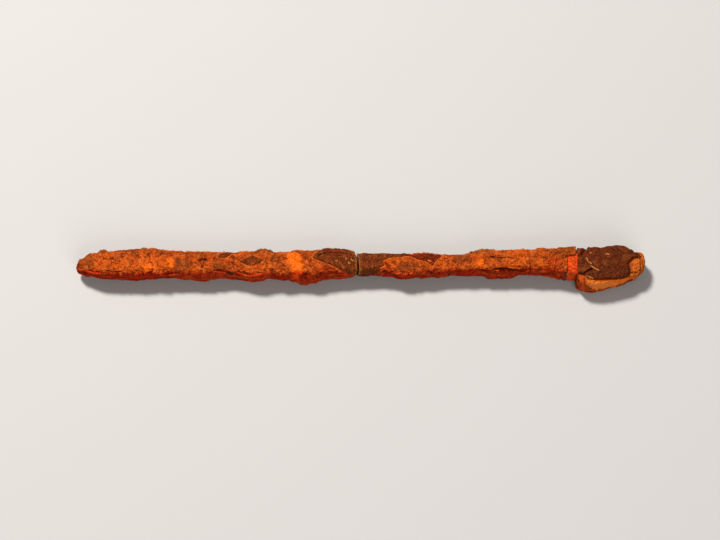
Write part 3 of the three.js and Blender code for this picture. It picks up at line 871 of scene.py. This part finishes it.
HEAD_TAN = [
    [(80.4, -5.4), (82.7, -5.2), (87, -5), (92.7, -4.7), (95.9, -3.8), (98.2, -3.9), (95, -5.4),
     (91.4, -6.9), (87.2, -8.2), (84, -8.6), (81.6, -7.8), (79.8, -6.4)],
    [(95.2, 2.9), (97.7, 2.6), (99.4, 1.8), (99.4, -2.3), (97.9, -4.8), (95.2, -4.8), (95, -0.9)],
    [(99, 4.8), (101.8, 4.8), (101.8, -2.4), (99.6, -3)],
]


def rim_bulge(across):
    """How far the crack round the striking face bulges towards the end."""
    return RIM_BULGE * (1 - np.clip(across / 5, -1, 1) ** 2)


def head_marks(marks, rings, across):
    """The head's crust is brown, with tan bands where its scale has come off, painted shade under its
    scales and painted highlight on the lower tan band.
    """
    flat = np.concatenate(rings)
    ragged = 0.4 * rough(flat, 1.1, 251)
    tan = mask(flat[:, 0], across.ravel(), ragged, HEAD_TAN, 0.35)
    low = smoothstep(-4.2, -5.2, across.ravel())
    marks["ochre"] = tan * (0.4 + 0.5 * low + 0.9 * rough(flat, 1, 255))
    marks["vivid"] = tan * low * (0.85 + 0.8 * rough(flat, 1.2, 257))
    marks["pale"] = 0.5 * tan * smoothstep(-5.4, -6.6, across.ravel())
    marks["umber"] = (1 - tan) * (0.75 + 0.5 * rough(flat, 1.6, 259))
    marks["red"] = 0.5 * marks["red"] * (1 - tan)
    # Painted shade on the crust under the cheek and corner scales, and painted highlight raised on the tan
    # band's lower part.
    covered = mask(flat[:, 0], across.ravel(), np.full(len(flat), 0.3), outlines_of(HEAD_SCALES)[::2], 0.3)
    marks["dark"] = np.maximum(marks["dark"], covered)
    marks["crest"] += 0.4 * tan * low - 0.5 * covered


def head_rings(x, beds, strength, start, end):
    """Rings of the head's crust, with their marks. From start to end they come to bulge like the crack."""
    rings, marks, across = crust_rings(HEAD_SKIN, x, beds, strength)
    head_marks(marks, rings, across)
    for ring, place, height in zip(rings, x, across):
        ring[:, 0] += smoothstep(start, end, place) * rim_bulge(height)
    return rings, marks


def make_head_crust():
    x = ring_places(HOOK_X, RIM_X + 0.1, 0.2)
    rings, marks = head_rings(x, outlines_of(HEAD_SCALES), 0.8, RIM_X - 3, RIM_X)
    bore = bore_ring(SHANK_IRON, HOOK_X)
    shares = np.linspace(0.1, 0.97, 12)
    face = between(bore, rings[0], shares)
    for ring, share in zip(face, shares):
        ring[:, 0] += 0.22 * rough(ring, 1.3, 261) * math.sin(math.pi * share)
    lead = [bore_ring(SHANK_IRON, HOOK_X + 1), bore, *face]
    tail = between(rings[-1], rings[-1].mean(axis=0), (0.06, 0.2, 0.5, 0.8))
    tail[0][:, 0] += 0.08
    piece = ("head_crust", "head_length", "head_rust")
    make_sleeve("head_crust_skin", piece, lead, rings, tail, marks, umber=0.8)


def make_striking_layer():
    start = RIM_X + RIM_CRACK
    x = ring_places(start, STRIKING_X, 0.18, HEAD_SKIN.dome_radius, 1)
    rings, marks = head_rings(x, [], 0.6, STRIKING_X, start)
    lead = between(rings[0].mean(axis=0), rings[0], (0.2, 0.5, 0.8, 0.96))
    piece = ("striking_face_layer", "head_length", "striking_rust")
    make_sleeve("striking_layer", piece, lead, rings, [], marks, umber=0.8)


# ---- Iron ----

def make_iron(name, node_name, body, iron, x, side):
    """A length of iron. side is -1 where its last ring lies in the break, and 1 where its first does."""
    points, ways, _ = iron.rings(x)
    flat, ways = points.reshape(-1, 3), ways.reshape(-1, 3)
    streaks = 0.26 * rough(flat * (0.6, 1, 1), 1.5, 301) + 0.14 * rough(flat, 0.7, 311)
    rings = list((flat + ways * np.clip(streaks, -0.35, 0.05)[:, None]).reshape(points.shape))
    if side > 0:
        rings.reverse()
    end = rings[-1]
    end[:, 0] = broken_x(end, side * INNER_GAP)
    for ring in between(end, end.mean(axis=0), (0.15, 0.3, 0.45, 0.6, 0.75, 0.9)):
        ring[:, 0] = broken_x(ring, side * INNER_GAP)
        rings.append(ring)
    if side > 0:
        rings.reverse()
    places = np.concatenate(rings)
    marks = {
        "crest": 0.5 + 1.3 * rough(places, 1, 331),
        "ochre": 0.35 * smoothstep(0.1, 0.6, rough(places, 2.2, 341)),
        "inside": smoothstep(3, 0.5, np.abs(places[:, 0] - BREAK_X)),
    }
    finish_piece(make_tube(name, rings, marks), node_name, body, "iron_core")


# ---- Scales and lumps that follow the skin ----

def fill_outline(outline, spacing, seed):
    """A triangle mesh of the outline in (x, across), with a ragged edge: points, faces and depth inside."""
    edge = []
    closed = list(outline) + [outline[0]]
    for (x0, a0), (x1, a1) in zip(closed, closed[1:]):
        count = max(1, round(math.hypot(x1 - x0, a1 - a0) / spacing))
        edge += [(x0 + (x1 - x0) * k / count, a0 + (a1 - a0) * k / count) for k in range(count)]
    edge = np.array(edge)
    flat = np.column_stack([edge, np.zeros(len(edge))])
    edge += 0.28 * np.column_stack([rough(flat, 1.5, seed), rough(flat, 1.5, seed + 7)])
    low, high = edge.min(axis=0), edge.max(axis=0)
    x, across = np.meshgrid(np.arange(low[0], high[0], spacing), np.arange(low[1], high[1], spacing * 0.87))
    x[1::2] += spacing / 2
    x, across = x.ravel(), across.ravel()
    kept = depth_inside(x, across, edge) > spacing * 0.55
    spots = [Vector(p) for p in edge] + [Vector(p) for p in zip(x[kept], across[kept])]
    count = len(edge)
    loop = [(k, (k + 1) % count) for k in range(count)]
    made, _, faces = delaunay_2d_cdt(spots, loop, [], 1, 1e-6)[:3]
    made = np.array([tuple(p) for p in made])
    depth = np.maximum(depth_inside(made[:, 0], made[:, 1], edge), 0)
    return made, [tuple(f) for f in faces], depth


def make_cover(name, skin, outline, top, bottom, marks_at, body, slot, spacing, seed):
    """A piece that lies on the skin and follows it. top gives the height of its upper side over the skin
    from (place, way, x, across, depth inside the outline), and marks_at gives its marks from the same."""
    flat, faces, depth = fill_outline(outline, spacing, seed)
    x, across = flat[:, 0], flat[:, 1]
    place, way = skin.at(x, across)
    height = top(place, way, x, across, depth)
    upper = place + way * height[:, None]
    lower = place + way * (swell(place) - bottom)[:, None]
    for points in (upper, lower):
        if body == "point_length":
            points[:, 0] = np.minimum(points[:, 0], broken_x(points, -COVER_GAP - SLIT))
        elif skin is SHANK_SKIN:
            points[:, 0] = np.maximum(points[:, 0], broken_x(points, COVER_GAP + SLIT))
    count = len(flat)
    sides = {(a, b) for face in faces for a, b in zip(face, face[1:] + face[:1])}
    rim = [(a, b) for a, b in sides if (b, a) not in sides]
    a, b, c = (upper[i] for i in faces[0][:3])
    outward = np.dot(np.cross(b - a, c - a), way[faces[0][0]]) > 0
    shell = list(faces) + [tuple(i + count for i in reversed(face)) for face in faces]
    shell += [(b, a, a + count, b + count) for a, b in sorted(rim)]
    if not outward:
        shell = [tuple(reversed(face)) for face in shell]
    marks = marks_at(place, way, x, across, depth)
    marks = {key: np.concatenate([values, np.full(count, 0.4)]) for key, values in marks.items()}
    obj = make_object(name + "_cover", np.concatenate([upper, lower]), shell, marks)
    finish_piece(obj, name, body, slot)


def make_scale(name, skin, outline, stand, body, slot, seed, spacing):
    """A scale of rust with a broken edge, plates, pits, its cracks, and pale lines: scratches, and on the
    scale left of the break painted glints.
    """
    cracks, scratches_and_glints, rusted = CRACKS.get(name, ()), SCRATCHES_AND_GLINTS.get(name, ()), RUSTED.get(name, 0)

    def surface(place, x, across):
        near, second = cells(place * (0.7, 1, 1), 2.4, seed + 11)
        height = -0.1 * (1 - smoothstep(0, 0.12, second - near))
        height -= 0.2 * smoothstep(0.22, 0.6, rough(place, 1.3, seed + 21))
        height += 0.24 * rough(place, 2.4, seed + 31) + 0.09 * rough(place, 0.7, seed + 41)
        for line, half_width, deep in cracks:
            away = line_distance(x, across, line) + 0.08 * rough(place, 0.7, seed + 51)
            height = height - deep * (1 - smoothstep(0.3 * half_width, half_width * 1.5, away))
        return height

    def top(place, way, x, across, depth):
        edge = 1 - np.exp(-depth / 0.2)
        return swell(place) - 0.45 + (0.45 + stand + surface(place, x, across)) * edge

    def marks_at(place, way, x, across, depth):
        edge = np.exp(-depth / 0.3)
        flecks = smoothstep(0.25, 0.55, rough(place, 1.4, seed + 61))
        scratch_and_glint = np.zeros(len(x))
        for line in scratches_and_glints:
            away = line_distance(x, across, line) + 0.16 * rough(place, 0.5, seed + 71)
            scratch_and_glint = np.maximum(scratch_and_glint, 1 - smoothstep(0.04, 0.24, away))
        scratch_and_glint *= 0.8 + 0.6 * rough(place, 0.8, seed + 75)
        scratch_and_glint = np.maximum(scratch_and_glint, 0.32 * near_break(place, 0.35))
        return {
            # Painted shade and painted highlight from the scale's relief, with painted shade along its
            # edge.
            "crest": 0.5 + 1.5 * surface(place, x, across) - 0.3 * edge,
            "ochre": 0.14 * flecks + 0.2 * edge + rusted,
            "pale": scratch_and_glint,
            "red": 0.4 * smoothstep(0.1, 0.5, rough(place, 2.2, seed + 81)) + REDDENED.get(name, 0),
        }

    make_cover(name, skin, outline, top, 0.9, marks_at, body, slot, spacing, seed)


def make_lump(name, skin, outline, stand, body, slot, seed):
    """A lump grown on the crust: it rises softly out of it and has the same grain."""

    def top(place, way, x, across, depth):
        rise = 1 - np.exp(-(depth / 0.9) ** 1.5)
        return swell(place) - 0.5 + (0.5 + stand) * rise + 1.1 * grain(place) + layers(place, way)

    def marks_at(place, way, x, across, depth):
        return {
            # Painted shade and painted highlight from the lump's relief, and painted red shade on its near
            # side.
            "crest": 0.5 + 1.3 * grain(place) + 1.2 * layers(place, way),
            "ochre": 0.3 * smoothstep(0.2, 0.5, rough(place, 1.5, seed + 3)) + RUSTED.get(name, 0),
            "umber": 0.6 * smoothstep(0.1, 0.5, rough(place, 1.8, seed + 5)),
            "red": 0.8 * smoothstep(0.4, 0.95, -way[:, 1]),
        }

    make_cover(name, skin, outline, top, 1, marks_at, body, slot, COVER_FINE, seed)


CRACKS = {
    "scale_left_of_break": [([(-15.5, 3.2), (-13, 4.3), (-9, 4.5), (-3, 3.9)], 0.16, 0.4)],
    "scale_lens_shank": [([(18, 3.4), (22, 3.4), (25, 2.4)], 0.15, 0.2)],
    "head_cheek_scale": [
        ([(77, -2.8), (79.2, -2.9), (80.6, -2), (82.2, -1.3)], 0.26, 0.8),
        ([(83.5, 4.9), (86.5, 2.6), (90.5, 1.9)], 0.1, 0.2),
        ([(90, -1), (92.5, 0.8), (94.8, 0.6)], 0.12, 0.25),
    ],
}
# Pale lines on the scales: scratches, and on the scale left of the break painted glints.
SCRATCHES_AND_GLINTS = {
    "scale_left_of_break": [
        [(-3.5, 2.2), (-2.8, 1.7)], [(-4.5, 1.1), (-3.8, 0.7)], [(-5.4, 2.6), (-5.2, 2.5)],
        [(-8.9, 1.7), (-8.4, 1.4)],
    ],
    "scale_lens_shank": [[(24, 1.9), (24.9, 1.6)]],
    "head_cheek_scale": [
        [(80.2, 2.5), (81, 1.2), (81.9, 0.6)], [(81.5, 0), (82.7, -0.9), (84.4, -1.9)],
        [(79.9, -3.5), (81.2, -4.2), (82.6, -4.9)], [(87.3, 3.9), (88.5, 3.7)], [(81.7, 4.5), (82.2, 4.4)],
    ],
}
# How far a scale has turned to the ochre of the crust round it.
RUSTED = {"scale_on_point": 0.2, "head_hook_scale": 1.1, "scale_lens_shank": 0.1}
# How far a scale has turned red.
REDDENED = {"scale_lens_shank": 0.6, "head_hook_scale": 0.15}
LUMP_SLOTS = {
    "blister": "red_blister",
    "nodule": "olive_nodule",
    "flake": "olive_nodule",
    "scale": "dark_scale",
}


def make_covers():
    scales = [
        (POINT_SCALES, POINT_SKIN, "point_length", "dark_scale", COVER_FINE),
        (SHANK_SCALES, SHANK_SKIN, "head_length", "dark_scale", COVER_FINE),
        (HEAD_SCALES, HEAD_SKIN, "head_length", "head_scale", HEAD_COVER_FINE),
    ]
    lumps = [(POINT_LUMPS, POINT_SKIN, "point_length"), (SHANK_LUMPS, SHANK_SKIN, "head_length")]
    seeds = itertools.count(400, 100)
    for group, skin, body, slot, spacing in scales:
        for name, (outline, stand) in group.items():
            make_scale(name, skin, outline, stand, body, slot, next(seeds), spacing)
    for group, skin, body in lumps:
        for name, (outline, stand) in group.items():
            slot = LUMP_SLOTS[name.split("_")[0]]
            make_lump(name, skin, outline, stand, body, slot, next(seeds))


# ---- Floor, light and camera ----

def make_floor():
    mesh = bpy.data.meshes.new("floor")
    reach = 3
    corners = [(-reach, -reach, 0), (reach, -reach, 0), (reach, reach, 0), (-reach, reach, 0)]
    mesh.from_pydata(corners, [], [(0, 1, 2, 3)])
    floor = in_scene("floor", mesh)
    material = bpy.data.materials.new("pale_floor")
    material.use_nodes = True
    surface = material.node_tree.nodes["Principled BSDF"]
    surface.inputs["Base Color"].default_value = (0.43, 0.42, 0.41, 1)
    surface.inputs["Roughness"].default_value = 0.9
    surface.inputs["Specular IOR Level"].default_value = 0.1
    mesh.materials.append(material)


def area_light(name, place, size, watts, colour):
    """A square lamp that points at the middle of the spike."""
    data = bpy.data.lights.new(name, "AREA")
    data.size = size
    data.energy = watts
    data.color = colour
    lamp = in_scene(name, data)
    lamp.location = place
    lamp.rotation_euler = (-Vector(place)).to_track_quat("-Z", "Y").to_euler()


def make_lights():
    area_light("key", (-0.55, 0.72, 1.3), 0.26, 43, (1, 0.97, 0.93))
    area_light("fill", (0.5, -1.4, 0.9), 1.2, 16, (1, 0.98, 0.96))
    world = bpy.data.worlds.new("studio")
    world.use_nodes = True
    background = world.node_tree.nodes["Background"]
    background.inputs["Color"].default_value = (1, 1, 1, 1)
    background.inputs["Strength"].default_value = 0.19
    bpy.context.scene.world = world


def make_camera():
    """Looks down at the spike at ELEVATION, through a long lens."""
    lens, sensor = 120, 36
    field = 257.4 * MM
    distance = field * lens / sensor
    aim_x, aim_across = -0.27, -1.6
    aim = Vector((aim_x, BAR_Y + aim_across * VIEW_UP[0], AXIS_Z + aim_across * VIEW_UP[1])) * MM
    data = bpy.data.cameras.new("camera")
    data.lens = lens
    data.sensor_width = sensor
    data.clip_start = 0.01
    camera = in_scene("camera", data)
    camera.location = aim + Vector((0, *VIEW_BACK)) * distance
    camera.rotation_euler = (math.pi / 2 - ELEVATION, 0, 0)
    bpy.context.scene.camera = camera


bpy.context.scene.view_settings.view_transform = "Standard"
make_camera()
make_lights()
make_floor()
make_point_crust()
make_shank_crust()
make_head_crust()
make_striking_layer()
point_places = ring_places(IRON_POINT_X, BREAK_LEFT, 1)
make_iron("point_iron", "point_core", "point_length", POINT_IRON, point_places, -1)
head_places = ring_places(BREAK_RIGHT, IRON_END_X, 0.3)
make_iron("head_iron", "head_core", "head_length", SHANK_IRON, head_places, 1)
make_covers()
